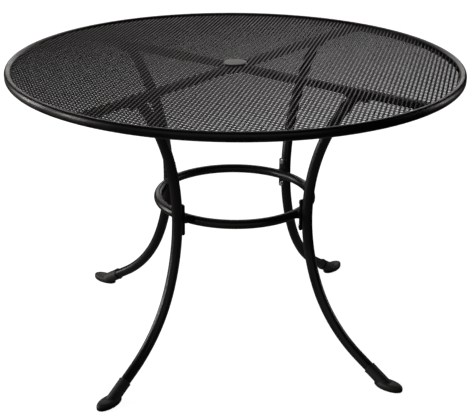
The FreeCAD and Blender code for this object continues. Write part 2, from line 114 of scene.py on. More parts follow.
class Nodes:
    """A node tree being built, one node at a time."""

    def __init__(self, tree: bpy.types.NodeTree) -> None:
        """Take the tree that the nodes go into.

        Args:
            tree: The tree.
        """
        self.tree = tree

    def join(self, source: object, target: Socket) -> None:
        """Feed a socket.

        Args:
            source: Another socket, or a plain value.
            target: The socket that gets it.
        """
        if isinstance(source, Socket):
            self.tree.links.new(source, target)
        else:
            target.default_value = source

    def add(self, kind: str, inputs: dict[str | int, object] | None = None,
            **settings: object) -> bpy.types.Node:
        """Add a node.

        Args:
            kind: The node's type.
            inputs: What feeds its inputs, by their names or numbers.
            settings: Its properties, which are set first.

        Returns:
            The node.
        """
        node = self.tree.nodes.new(kind)
        for key, value in settings.items():
            setattr(node, key, value)
        for key, source in (inputs or {}).items():
            self.join(source, node.inputs[key])
        return node


class Shade(Nodes):
    """A material being built round one plain shader."""

    def __init__(self, name: str) -> None:
        """Start the material.

        Args:
            name: The material's name.
        """
        self.material = bpy.data.materials.new(name)
        self.material.use_nodes = True
        super().__init__(self.material.node_tree)
        self.shader = self.tree.nodes["Principled BSDF"].inputs
        self.place = self.add("ShaderNodeTexCoord").outputs["Object"]

    def noise(self, grain: float, detail: float, stretch: Point = (1, 1, 1)) -> Socket:
        """Add a noise pattern.

        Args:
            grain: The size of one grain of the pattern.
            detail: How many finer octaves it has.
            stretch: How much the grain is squeezed along each axis.

        Returns:
            The socket with the pattern's strength from 0 to 1.
        """
        mapped = self.add("ShaderNodeMapping", {"Vector": self.place, "Scale": stretch}).outputs[0]
        inputs = {"Vector": mapped, "Scale": 1 / grain, "Detail": detail}
        return self.add("ShaderNodeTexNoise", inputs).outputs["Fac"]

    def spread(self, source: Socket, low: float, high: float) -> Socket:
        """Turn a pattern into a value between two limits.

        Args:
            source: The pattern, mostly between the noise limits.
            low: The value at the pattern's low end.
            high: The value at its high end.

        Returns:
            The socket with the value.
        """
        inputs = {"Value": source, "To Min": low, "To Max": high}
        inputs["From Min"], inputs["From Max"] = NOISE_LIMITS
        return self.add("ShaderNodeMapRange", inputs).outputs["Result"]

    def tint(self, source: Socket, dark: Point, light: Point) -> Socket:
        """Turn a pattern into a colour between two colours.

        Args:
            source: The pattern.
            dark: The colour at its low end.
            light: The colour at its high end.

        Returns:
            The socket with the colour.
        """
        ramp = self.add("ShaderNodeValToRGB", {"Fac": source})
        for stop, position, colour in zip(ramp.color_ramp.elements, RAMP_LIMITS, (dark, light)):
            stop.position = position
            stop.color = (*colour, 1)
        return ramp.outputs["Color"]

    def relief(self, height: Socket, depth: float, below: Socket | None = None) -> Socket:
        """Add a bump.

        Args:
            height: The pattern that is raised.
            depth: How deep the relief is.
            below: A normal that this relief is laid on, if any.

        Returns:
            The socket with the normal.
        """
        inputs = {"Height": height, "Distance": depth, "Strength": 1.0}
        if below is not None:
            inputs["Normal"] = below
        return self.add("ShaderNodeBump", inputs).outputs["Normal"]

@dataclass(frozen=True)
class Finish:
    """What every finish has: the colours and roughnesses that one pattern runs between."""

    name: str
    dark: Point
    light: Point
    smooth: float
    rough: float

    def coat(self, shade: Shade, pattern: Socket, normal: Socket) -> Material:
        """Let a pattern set the colour and the roughness, and lay on the relief.

        Args:
            shade: The material being built.
            pattern: The pattern that the colour and the roughness follow.
            normal: The relief's normal.

        Returns:
            The finished material.
        """
        shade.join(shade.tint(pattern, self.dark, self.light), shade.shader["Base Color"])
        shade.join(shade.spread(pattern, self.smooth, self.rough), shade.shader["Roughness"])
        shade.join(normal, shade.shader["Normal"])
        return shade.material


@dataclass(frozen=True)
class PowderCoat(Finish):
    """Near-black satin powder coat, with the fine ripple that it sets in."""

    name: str = "powder_coat"
    dark: Point = (0.006, 0.006, 0.0063)
    light: Point = (0.0100, 0.0098, 0.0097)
    smooth: float = 0.27
    rough: float = 0.37
    ripple: float = 1.6 * MM
    ripple_depth: float = 0.05 * MM
    speck: float = 0.35 * MM
    speck_depth: float = 0.012 * MM
    cloud: float = 60 * MM
    gloss: float = 0.4

    def build(self) -> Material:
        """Make the material.

        Returns:
            The material.
        """
        shade = Shade(self.name)
        cloud = shade.noise(self.cloud, 4)
        ripple = shade.relief(shade.noise(self.ripple, 2), self.ripple_depth)
        specks = shade.relief(shade.noise(self.speck, 1), self.speck_depth, ripple)
        shade.join(self.gloss, shade.shader["Specular IOR Level"])
        return self.coat(shade, cloud, specks)


@dataclass(frozen=True)
class MouldedPlastic(Finish):
    """Moulded plastic or rubber with a fine sandy grain and a little dust."""

    grain: float = 0.6 * MM
    grain_depth: float = 0.04 * MM
    cloud: float = 14 * MM

    def build(self) -> Material:
        """Make the material.

        Returns:
            The material.
        """
        shade = Shade(self.name)
        cloud = shade.noise(self.cloud, 5)
        grain = shade.relief(shade.noise(self.grain, 2), self.grain_depth)
        return self.coat(shade, cloud, grain)


@dataclass(frozen=True)
class ZincPlate(Finish):
    """Bright zinc plate with faint drawing marks."""

    name: str = "zinc_plate"
    dark: Point = (0.42, 0.42, 0.41)
    light: Point = (0.66, 0.66, 0.64)
    smooth: float = 0.24
    rough: float = 0.42
    grain: float = 0.9 * MM
    grain_depth: float = 0.02 * MM
    stretch: Point = (1, 1, 4)

    def build(self) -> Material:
        """Make the material.

        Returns:
            The material.
        """
        shade = Shade(self.name)
        marks = shade.noise(self.grain, 3, self.stretch)
        shade.join(1.0, shade.shader["Metallic"])
        return self.coat(shade, marks, shade.relief(marks, self.grain_depth))


@dataclass(frozen=True)
class Finishes:
    """One built material for each slot."""

    by_slot: dict[Slot, Material]

    @classmethod
    def build(cls) -> "Finishes":
        """Build every finish of the table.

        Returns:
            The finishes.
        """
        bush = MouldedPlastic("bush_black", (0.010, 0.010, 0.010), (0.016, 0.016, 0.016), 0.45, 0.6)
        cap = MouldedPlastic("cap_grey", (0.42, 0.42, 0.41), (0.56, 0.56, 0.545), 0.5, 0.65)
        shoe = MouldedPlastic("shoe_rubber", (0.010, 0.010, 0.0105), (0.020, 0.020, 0.020), 0.5, 0.68)
        return cls({
            Slot.FRAME: PowderCoat().build(),
            Slot.BUSH: bush.build(),
            Slot.CAP: cap.build(),
            Slot.FOOT: shoe.build(),
            Slot.ZINC: ZincPlate().build(),
        })

    def dress(self, mesh: Mesh, slot: Slot) -> None:
        """Give a mesh the finish of its slot."""
        mesh.materials.clear()
        mesh.materials.append(self.by_slot[slot])


@dataclass
class Workshop:
    """What every sub-assembly needs: the finishes and the list of pieces made so far."""

    finishes: Finishes
    made: list[str] = field(default_factory=list)

    def place(self, name: str, mesh: Mesh, slot: Slot, body: Body = Body.TABLE,
              node: str | None = None) -> None:
        """Finish a piece, link it at the origin and let it ride on its body.

        Args:
            name: The piece's name.
            mesh: Its mesh, already in the table's frame.
            slot: The slot that its finish comes from.
            body: The body it rides on.
            node: The node that it replaces, if any.
        """
        self.finishes.dress(mesh, slot)
        mesh.polygons.foreach_set("use_smooth", [True] * len(mesh.polygons))
        mesh.set_sharp_from_angle(angle=SHARP_ANGLE)
        piece = linked(name, mesh)
        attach(piece, body.value)
        if node is not None:
            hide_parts(node)
        self.made.append(name)
        log.info("%s: %d faces on %s", name, len(mesh.polygons), body.value)

    def place_at_legs(self, *rows: tuple[str, Mesh, Slot, str | None]) -> None:
        """Place a turned copy of each piece at every leg.

        Args:
            rows: For each piece the start of its name, its mesh at azimuth 0, its slot, and the
                start of the name of the node that it replaces, if any.
        """
        for leg, azimuth in LEG_AZIMUTHS.items():
            for stem, mesh, slot, node_stem in rows:
                name = f"{stem}_{leg}"
                node = None if node_stem is None else f"{node_stem}_{leg}"
                self.place(name, turned(mesh, azimuth, name), slot, node=node)


def linked(name: str, data: bpy.types.ID) -> bpy.types.Object:
    """Make an object of some data and link it into the scene.

    Args:
        name: The object's name.
        data: Its mesh, light or camera.

    Returns:
        The object.
    """
    thing = bpy.data.objects.new(name, data)
    bpy.context.scene.collection.objects.link(thing)
    return thing


def baked(carrier: bpy.types.Object, name: str) -> Mesh:
    """Turn an object with modifiers into a plain mesh, and remove the object.

    Args:
        carrier: The object.
        name: The mesh's name.

    Returns:
        The plain mesh.
    """
    graph = bpy.context.evaluated_depsgraph_get()
    made = bpy.data.meshes.new_from_object(carrier.evaluated_get(graph))
    made.name = name
    carrier.modifiers.clear()
    bpy.data.objects.remove(carrier)
    return made


def mesh_of(name: str, points: Sequence[Point], faces: Sequence[Sequence[int]]) -> Mesh:
    """Make a mesh whose doubles are merged and whose faces point outwards.

    Args:
        name: The mesh's name.
        points: Its corners.
        faces: Its faces, as indices of corners.

    Returns:
        The mesh.
    """
    mesh = bpy.data.meshes.new(name)
    mesh.from_pydata([tuple(point) for point in points], [], faces)
    return outward(mesh)


def outward(mesh: Mesh) -> Mesh:
    """Merge a mesh's doubles and turn its faces outwards.

    Args:
        mesh: The mesh, which is changed.

    Returns:
        The same mesh.
    """
    work = bmesh.new()
    work.from_mesh(mesh)
    bmesh.ops.remove_doubles(work, verts=work.verts, dist=1e-6)
    bmesh.ops.recalc_face_normals(work, faces=work.faces)
    work.to_mesh(mesh)
    work.free()
    return mesh


def joined(name: str, meshes: Iterable[Mesh]) -> Mesh:
    """Put several meshes into one.

    Args:
        name: The new mesh's name.
        meshes: What goes into it.

    Returns:
        The new mesh.
    """
    work = bmesh.new()
    for mesh in meshes:
        work.from_mesh(mesh)
    result = bpy.data.meshes.new(name)
    work.to_mesh(result)
    work.free()
    return result


def turned(mesh: Mesh, azimuth: float, name: str) -> Mesh:
    """Copy a mesh and turn the copy about the table's axis.

    Args:
        mesh: The mesh to copy, made in the upright plane at azimuth 0.
        azimuth: The turn in degrees.
        name: The copy's name.

    Returns:
        The turned copy.
    """
    copy = mesh.copy()
    copy.name = name
    copy.transform(Matrix.Rotation(math.radians(azimuth), 4, "Z"))
    return copy


def quads(rings: int, around: int, closed_run: bool) -> Faces:
    """The faces of a tube of rings.

    Args:
        rings: How many rings of points there are.
        around: How many points each ring has.
        closed_run: Whether the last ring joins the first.

    Returns:
        The faces, as indices.
    """
    faces = []
    last = rings if closed_run else rings - 1
    for ring in range(last):
        here = ring * around
        there = (ring + 1) % rings * around
        for step in range(around):
            following = (step + 1) % around
            faces.append((here + step, here + following, there + following, there + step))
    return faces


def capped_quads(rings: int, around: int) -> Faces:
    """The faces of an open tube of rings, with one face across each end.

    Args:
        rings: How many rings of points there are.
        around: How many points each ring has.

    Returns:
        The faces, as indices.
    """
    total = rings * around
    ends = [tuple(range(around)), tuple(range(total - around, total))]
    return quads(rings, around, False) + ends


def revolve(name: str, profile: Outline, steps: int) -> Mesh:
    """Turn a closed profile about the table's axis.

    Args:
        name: The mesh's name.
        profile: Points as radius and height. A radius of 0 closes on the axis.
        steps: How many steps the turn has.

    Returns:
        The closed mesh.
    """
    points = []
    for step in range(steps):
        angle = 2 * math.pi * step / steps
        points += [(r * math.cos(angle), r * math.sin(angle), z) for r, z in profile]
    return mesh_of(name, points, quads(steps, len(profile), True))


def tube_along(name: str, path: Sequence[Vector], section: Outline) -> Mesh:
    """Sweep a section along a path in the upright plane at azimuth 0, and close its ends.

    Args:
        name: The mesh's name.
        path: The points of the path.
        section: The section's points, first across the path in its plane, then sideways.

    Returns:
        The closed mesh.
    """
    points = []
    for index, place in enumerate(path):
        before = path[max(index - 1, 0)]
        after = path[min(index + 1, len(path) - 1)]
        across = SIDEWAYS.cross((after - before).normalized())
        points += [place + across * u + SIDEWAYS * v for u, v in section]
    return mesh_of(name, points, capped_quads(len(path), len(section)))


def arc(centre: Spot, radius: float, angles: Iterable[float]) -> Outline:
    """Points at one distance from a centre, one for each angle in radians."""
    return [(centre[0] + radius * math.cos(a), centre[1] + radius * math.sin(a)) for a in angles]


def circle(radius: float, steps: int, centre: Spot = (0, 0)) -> Outline:
    """The points of a circle."""
    return arc(centre, radius, (2 * math.pi / steps * k for k in range(steps)))


def corner_arc(centre: Spot, radius: float, start: float, steps: int) -> Outline:
    """A quarter turn of points.

    Args:
        centre: The corner's centre.
        radius: Its radius.
        start: The angle that it starts at, in degrees.
        steps: How many steps it has.

    Returns:
        The points, both ends included.
    """
    return arc(centre, radius, (math.radians(start + 90 * k / steps) for k in range(steps + 1)))


def rounded_box(low: Spot, high: Spot, radius: float, steps: int = 4) -> Outline:
    """A rectangle with rounded corners.

    Args:
        low: Its lowest corner.
        high: Its highest corner.
        radius: The corners' radius.
        steps: The steps in each corner.

    Returns:
        The outline, anticlockwise.
    """
    corners = [
        ((high[0] - radius, high[1] - radius), 0),
        ((low[0] + radius, high[1] - radius), 90),
        ((low[0] + radius, low[1] + radius), 180),
        ((high[0] - radius, low[1] + radius), 270),
    ]
    return [point for centre, start in corners for point in corner_arc(centre, radius, start, steps)]


def plate(name: str, outline: Outline, low: float, high: float, bevel: float) -> Mesh:
    """A flat plate with softened edges, lying level.

    Args:
        name: The mesh's name.
        outline: The plate's edge.
        low: The height of its underside.
        high: The height of its top.
        bevel: How far the edges are softened.

    Returns:
        The closed mesh.
    """
    edge = np.array(outline)
    middle = np.mean(edge, axis=0)
    reach = np.max(np.abs(edge - middle), axis=0)
    rows = [(low + bevel, angle) for angle in (-90, -45, 0)]
    rows += [(high - bevel, angle) for angle in (0, 45, 90)]
    points = []
    for level, angle in rows:
        inset = bevel * (1 - math.cos(math.radians(angle)))
        height = level + bevel * math.sin(math.radians(angle))
        points += [(x, y, height) for x, y in middle + (edge - middle) * (1 - inset / reach)]
    return mesh_of(name, points, capped_quads(len(rows), len(outline)))


def cut_level(mesh: Mesh, height: float, keep_below: bool) -> Mesh:
    """Cut a closed mesh off at a level and close the cut.

    Args:
        mesh: The mesh.
        height: The level of the cut.
        keep_below: Whether the part under the cut is kept, and not the part over it.

    Returns:
        The same mesh, cut.
    """
    work = bmesh.new()
    work.from_mesh(mesh)
    everything = work.verts[:] + work.edges[:] + work.faces[:]
    away = (0, 0, 1 if keep_below else -1)
    cut = bmesh.ops.bisect_plane(work, geom=everything, plane_co=(0, 0, height), plane_no=away,
                                 clear_outer=True)
    edge = [item for item in cut["geom_cut"] if isinstance(item, bmesh.types.BMEdge)]
    bmesh.ops.contextual_create(work, geom=edge)
    work.to_mesh(mesh)
    work.free()
    return outward(mesh)


def crossing(half: float) -> np.ndarray:
    """The places of a bead that crosses a face of a given half width, a little inside its edges."""
    return np.linspace(half - BEAD_INSET, BEAD_INSET - half, BEAD_STEPS)


class NodeTree(Nodes):
    """A geometry node tree being built."""

    def __init__(self, name: str) -> None:
        """Start a tree with one geometry input and one geometry output.

        Args:
            name: The tree's name.
        """
        super().__init__(bpy.data.node_groups.new(name, "GeometryNodeTree"))
        for way in ("INPUT", "OUTPUT"):
            self.tree.interface.new_socket("Geometry", in_out=way, socket_type="NodeSocketGeometry")
        self.given = self.add("NodeGroupInput").outputs
        self.result = self.add("NodeGroupOutput").inputs
        self.identifiers: dict[str, str] = {}

    def ask(self, kind: str, *names: str) -> None:
        """Add named inputs to the tree.

        Args:
            kind: The inputs' socket type.
            names: Their names.
        """
        for name in names:
            socket = self.tree.interface.new_socket(name, in_out="INPUT", socket_type=kind)
            self.identifiers[name] = socket.identifier

    def join(self, source: object, target: Socket) -> None:
        """Feed a socket.

        Args:
            source: Another socket, the name of one of the tree's inputs, or a plain value.
            target: The socket that gets it.
        """
        super().join(self.given[source] if isinstance(source, str) else source, target)

    def math(self, operation: str, first: object, second: object = 0.0) -> Socket:
        """The result of a maths node."""
        return self.add("ShaderNodeMath", {0: first, 1: second}, operation=operation).outputs[0]

    def times(self, first: object, second: object) -> Socket:
        """The product of two values."""
        return self.math("MULTIPLY", first, second)

    def vector(self, x: object, y: object, z: object) -> Socket:
        """A vector of three values."""
        return self.add("ShaderNodeCombineXYZ", {0: x, 1: y, 2: z}).outputs[0]

    def parts(self, source: Socket) -> list[Socket]:
        """The three values of a vector."""
        return list(self.add("ShaderNodeSeparateXYZ", {0: source}).outputs)

    def rotation(self, x: object, y: object, z: object) -> Socket:
        """A rotation of three angles."""
        return self.add("FunctionNodeEulerToRotation", {0: self.vector(x, y, z)}).outputs[0]

    def set_on(self, points: Socket, piece: object, rotation: Socket, scale: object = (1, 1, 1)) -> Socket:
        """Set a piece on every point.

        Args:
            points: The points.
            piece: The geometry that is set on them.
            rotation: How it is turned there.
            scale: How it is scaled there.

        Returns:
            The instances.
        """
        inputs = {"Points": points, "Instance": piece, "Rotation": rotation, "Scale": scale}
        return self.add("GeometryNodeInstanceOnPoints", inputs).outputs["Instances"]

    def close(self, geometry: Socket) -> None:
        """End the tree: instances become a real mesh and get the finish.

        Args:
            geometry: The instances.
        """
        real = self.add("GeometryNodeRealizeInstances", {"Geometry": geometry}).outputs[0]
        dressed = self.add("GeometryNodeSetMaterial", {"Geometry": real, "Material": "Finish"})
        self.join(dressed.outputs[0], self.result["Geometry"])

    def run(self, name: str, start: Mesh, **values: object) -> Mesh:
        """Evaluate the tree on a mesh and give the plain result.

        Args:
            name: The new mesh's name.
            start: The mesh that the tree starts from.
            values: The inputs by name, with _ for each space.

        Returns:
            The plain mesh.
        """
        carrier = linked(name + "_carrier", start)
        modifier = carrier.modifiers.new("Build", "NODES")
        modifier.node_group = self.tree
        for key, value in values.items():
            modifier[self.identifiers[key.replace("_", " ")]] = value
        return baked(carrier, name)


@dataclass
class WeldBead:
    """Rows of overlapping ripples, laid along a path by a node tree."""

    finish: Material
    pitch: float = 1.5 * MM
    unevenness: float = 0.12
    flatness: float = 0.75
    roundness: int = 2
    seed: int = 4
    tree: NodeTree = field(init=False)

    def __post_init__(self) -> None:
        """Build the tree."""
        tree = NodeTree("weld_bead")
        tree.ask("NodeSocketFloat", "Width", "Pitch", "Unevenness")
        tree.ask("NodeSocketMaterial", "Finish")
        curve = tree.add("GeometryNodeMeshToCurve", {"Mesh": "Geometry"}).outputs[0]
        points = tree.add("GeometryNodeCurveToPoints", {"Curve": curve, "Length": "Pitch"}, mode="LENGTH")
        ball = {"Radius": tree.times("Width", 0.5), "Subdivisions": self.roundness}
        ripple = tree.add("GeometryNodeMeshIcoSphere", ball).outputs["Mesh"]
        low, high = (tree.math(way, 1.0, "Unevenness") for way in ("SUBTRACT", "ADD"))
        draw = {2: low, 3: high, "Seed": self.seed}
        size = tree.add("FunctionNodeRandomValue", draw, data_type="FLOAT").outputs[1]
        scale = tree.vector(size, size, self.flatness)
        ripples = tree.set_on(points.outputs["Points"], ripple, points.outputs["Rotation"], scale)
        tree.close(ripples)
        self.tree = tree

    def along(self, name: str, path: Sequence[Point], width: float, closed: bool = False) -> Mesh:
        """Lay a bead.

        Args:
            name: The bead's name.
            path: The points that it follows.
            width: The bead's width.
            closed: Whether it runs round to its start.

        Returns:
            The bead's mesh.
        """
        edges = [(k, k + 1) for k in range(len(path) - 1)]
        if closed:
            edges.append((len(path) - 1, 0))
        line = bpy.data.meshes.new(name + "_line")
        line.from_pydata([tuple(point) for point in path], edges, [])
        return self.tree.run(name, line, Width=width, Pitch=self.pitch,
                             Unevenness=self.unevenness, Finish=self.finish)


@dataclass
class ExpandedSheet:
    """The mesh: slit sheet steel pulled open into diamonds of tilted strands and bonds."""

    shop: Workshop
    long_way: float = 21.3 * MM
    short_way: float = 10.66 * MM
    azimuth: float = math.radians(43.0)
    strand_width: float = 2.35 * MM
    strand_thickness: float = 0.95 * MM
    strand_overlap: float = 0.7 * MM
    roll: float = math.radians(27)
    half_rise: float = 0.05 * MM
    bond_length: float = 2.2 * MM
    bond_spread: float = 1.9
    above_middle: float = 0.3 * MM
    into_rim: float = 3.0 * MM
    past_hole: float = 2.9 * MM

    def tree(self) -> NodeTree:
        """Build the tree that lays one box at every lattice place of a kind.

        Returns:
            The tree. Its Bonds input picks the bonds instead of the strands.
        """
        tree = NodeTree("expanded_sheet")
        tree.ask("NodeSocketFloat", "Long Way", "Short Way", "Outer Radius", "Inner Radius", "Length",
                 "Width", "Thickness", "Roll", "Slope", "Azimuth", "Height")
        tree.ask("NodeSocketBool", "Bonds")
        tree.ask("NodeSocketInt", "Columns", "Rows")
        tree.ask("NodeSocketMaterial", "Finish")
        steps = [tree.times(way, 0.5) for way in ("Long Way", "Short Way")]
        counts = ("Columns", "Rows")
        spans = [tree.times(tree.math("SUBTRACT", count, 1.0), step) for count, step in zip(counts, steps)]
        lattice = {"Size X": spans[0], "Size Y": spans[1], "Vertices X": "Columns", "Vertices Y": "Rows"}
        grid = tree.add("GeometryNodeMeshGrid", lattice).outputs["Mesh"]
        position = tree.add("GeometryNodeInputPosition").outputs[0]
        shares = [tree.math("DIVIDE", place, step) for place, step in zip(tree.parts(position), steps)]
        place_sum = tree.math("ADD", *(tree.math("ROUND", share) for share in shares))
        odd = tree.math("MODULO", tree.math("ABSOLUTE", place_sum), 2.0)
        mark = tree.add("GeometryNodeCaptureAttribute", domain="POINT")
        mark.capture_items.new("FLOAT", "Sign")
        tree.join(grid, mark.inputs["Geometry"])
        tree.join(tree.math("SUBTRACT", 1.0, tree.times(odd, 2.0)), mark.inputs[1])
        sign = mark.outputs[1]
        shift = tree.vector(*(tree.times("Bonds", tree.times(step, 0.5)) for step in steps), 0.0)
        moving = {"Geometry": mark.outputs["Geometry"], "Offset": shift}
        moved = tree.add("GeometryNodeSetPosition", moving).outputs["Geometry"]
        reach = tree.add("ShaderNodeVectorMath", {0: position}, operation="LENGTH").outputs["Value"]
        outside = tree.math("GREATER_THAN", reach, "Outer Radius")
        inside = tree.math("LESS_THAN", reach, "Inner Radius")
        spare = tree.times("Bonds", tree.math("LESS_THAN", sign, 0.0))
        unwanted = tree.math("MAXIMUM", tree.math("MAXIMUM", outside, inside), spare)
        trimming = {"Geometry": moved, "Selection": tree.math("GREATER_THAN", unwanted, 0.5)}
        trimmed = tree.add("GeometryNodeDeleteGeometry", trimming, domain="POINT").outputs[0]
        size = tree.vector("Length", "Width", "Thickness")
        box = tree.add("GeometryNodeMeshCube", {"Size": size}).outputs["Mesh"]
        slant = tree.times(tree.math("ARCTAN2", "Short Way", "Long Way"), sign)
        slant_of_kind = tree.times(slant, tree.math("SUBTRACT", 1.0, "Bonds"))
        turn = tree.rotation("Roll", tree.times("Slope", sign), slant_of_kind)
        setting_down = {
            "Geometry": tree.set_on(trimmed, box, turn),
            "Translation": tree.vector(0.0, 0.0, "Height"),
            "Rotation": tree.vector(0.0, 0.0, "Azimuth"),
        }
        tree.close(tree.add("GeometryNodeTransform", setting_down).outputs["Geometry"])
        return tree

    def build(self) -> None:
        """Make the strands and the bonds between them."""
        low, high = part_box("mesh_panel")
        hole = -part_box("pole_bush")[0].x
        tree = self.tree()
        strand_run = math.hypot(self.long_way, self.short_way) / 2
        common = {
            "Long_Way": self.long_way,
            "Short_Way": self.short_way,
            "Outer_Radius": high.x + self.into_rim,
            "Inner_Radius": hole + self.past_hole,
            "Thickness": self.strand_thickness,
            "Roll": self.roll,
            "Azimuth": self.azimuth,
            "Height": (low.z + high.z) / 2 + self.above_middle,
            "Columns": 2 * math.ceil(high.x / (self.long_way / 2)) + 1,
            "Rows": 2 * math.ceil(high.y / (self.short_way / 2)) + 1,
            "Finish": self.shop.finishes.by_slot[Slot.FRAME],
        }
        empty = bpy.data.meshes.new("empty")
        strands = tree.run("mesh_strands", empty, Length=strand_run + self.strand_overlap,
                           Width=self.strand_width, Slope=math.asin(2 * self.half_rise / strand_run),
                           Bonds=False, **common)
        bonds = tree.run("mesh_bonds", empty, Length=self.bond_length,
                         Width=self.strand_width * self.bond_spread, Slope=0.0, Bonds=True, **common)
        self.shop.place("mesh_strands", strands, Slot.FRAME, node="mesh_panel")
        self.shop.place("mesh_bonds", bonds, Slot.FRAME)


@dataclass
class TopFrame:
    """The rim, the four arms and the collar that carry the sheet."""

    shop: Workshop
    welder: WeldBead
    rim_width: float = 16.0 * MM
    rim_steps: int = 288
    section_steps: int = 14
    arm_half_width: float = 10.0 * MM
    arm_corner: float = 2.2 * MM
    arm_steps: int = 24
    arm_into_rim: float = 1.8 * MM
    arm_into_collar: float = 2.5 * MM
    collar_wall: float = 4.0 * MM
    collar_edge: float = 0.6 * MM
    collar_steps: int = 96
    rim_bead_width: float = 3.4 * MM
    collar_bead_width: float = 3.0 * MM
    collar_bead_lift: float = 0.4 * MM
    collar_bead_steps: int = 7

    def rim(self) -> float:
        """Make the rim tube.

        Returns:
            The radius of the tube's middle line.
        """
        low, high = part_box("rim_tube")
        half = self.rim_width / 2
        radius = high.x - half
        middle = (low.z + high.z) / 2
        flat = (high.z - low.z) / 2 - half
        profile = []
        for step in range(2 * self.section_steps):
            angle = math.pi * step / self.section_steps
            lift = flat if math.sin(angle) >= 0 else -flat
            profile.append((radius + half * math.cos(angle), middle + lift + half * math.sin(angle)))
        mesh = revolve("rim_tube_shell", profile, self.rim_steps)
        self.shop.place("rim_tube_shell", mesh, Slot.FRAME, node="rim_tube")
        return radius

    def arms(self, rim_radius: float) -> None:
        """Make the four box tubes and the weld beads at their ends.

        Args:
            rim_radius: The radius of the rim tube's middle line.
        """
        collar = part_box("pole_collar")[1]
        top, bottom = collar.z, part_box("leg_top_plate_back_right")[1].z
        half, half_height = self.arm_half_width, (top - bottom) / 2
        section = rounded_box((-half_height, -half), (half_height, half), self.arm_corner)
        inner = collar.x - self.arm_into_collar
        outer = rim_radius - self.arm_into_rim
        path = [Vector((x, 0, (top + bottom) / 2)) for x in np.linspace(inner, outer, self.arm_steps + 1)]
        arm = tube_along("arm", path, section)
        beads = [
            self.rim_bead(rim_radius - self.rim_width / 2, top, bottom),
            self.collar_bead(collar.x, top, bottom),
        ]
        self.shop.place_at_legs(("arm", arm, Slot.FRAME, "support_arm"))
        self.shop.place_at_legs(("arm_welds", joined("arm_beads", beads), Slot.FRAME, None))

    def rim_bead(self, rim_face: float, top: float, bottom: float) -> Mesh:
        """The bead round an arm's end at the rim.

        Args:
            rim_face: The radius of the rim's inner side.
            top: The height of the arm's top.
            bottom: The height of its underside.

        Returns:
            The bead's mesh.
        """
        radius = self.rim_width / 2
        side = []
        for height in np.linspace(top - BEAD_INSET, bottom + BEAD_INSET, BEAD_STEPS):
            below = max(0.0, bottom + radius - height)
            reach = rim_face + radius - math.sqrt(radius ** 2 - below ** 2)
            side.append((reach, self.arm_half_width, height))
        under = [(side[-1][0] + BEAD_INSET, y, bottom) for y in crossing(self.arm_half_width)]
        return self.bead_round("rim_bead", side, under, self.rim_bead_width)

    def collar_bead(self, radius: float, top: float, bottom: float) -> Mesh:
        """The bead round an arm's end at the collar.

        Args:
            radius: The collar's outer radius.
            top: The height of the arm's top.
            bottom: The height of its underside.

        Returns:
            The bead's mesh.
        """
        half = self.arm_half_width
        reach = math.sqrt(radius ** 2 - half ** 2)
        heights = np.linspace(top - BEAD_INSET, bottom + BEAD_INSET, self.collar_bead_steps)
        side = [(reach, half, height) for height in heights]
        low = bottom + self.collar_bead_lift
        under = [(math.sqrt(radius ** 2 - y ** 2), y, low) for y in crossing(half)]
        return self.bead_round("collar_bead", side, under, self.collar_bead_width)

    def bead_round(self, name: str, side: list[Point], under: list[Point], width: float) -> Mesh:
        """Lay a bead down one side of an arm's end, across under it and up the other side.

        Args:
            name: The bead's name.
            side: Its points down the side.
            under: Its points under the arm.
            width: Its width.

        Returns:
            The bead's mesh.
        """
        other = [(x, -y, z) for x, y, z in reversed(side)]
        return self.welder.along(name, side + under + other, width)

    def collar(self) -> None:
        """Make the collar with softened edges."""
        low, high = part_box("pole_collar")
        section = rounded_box((high.x - self.collar_wall, low.z), (high.x, high.z), self.collar_edge, 3)
        mesh = revolve("collar_shell", section, self.collar_steps)
        self.shop.place("collar_shell", mesh, Slot.FRAME, node="pole_collar")

    def build(self) -> None:
        """Make the whole top frame."""
        self.arms(self.rim())
        self.collar()


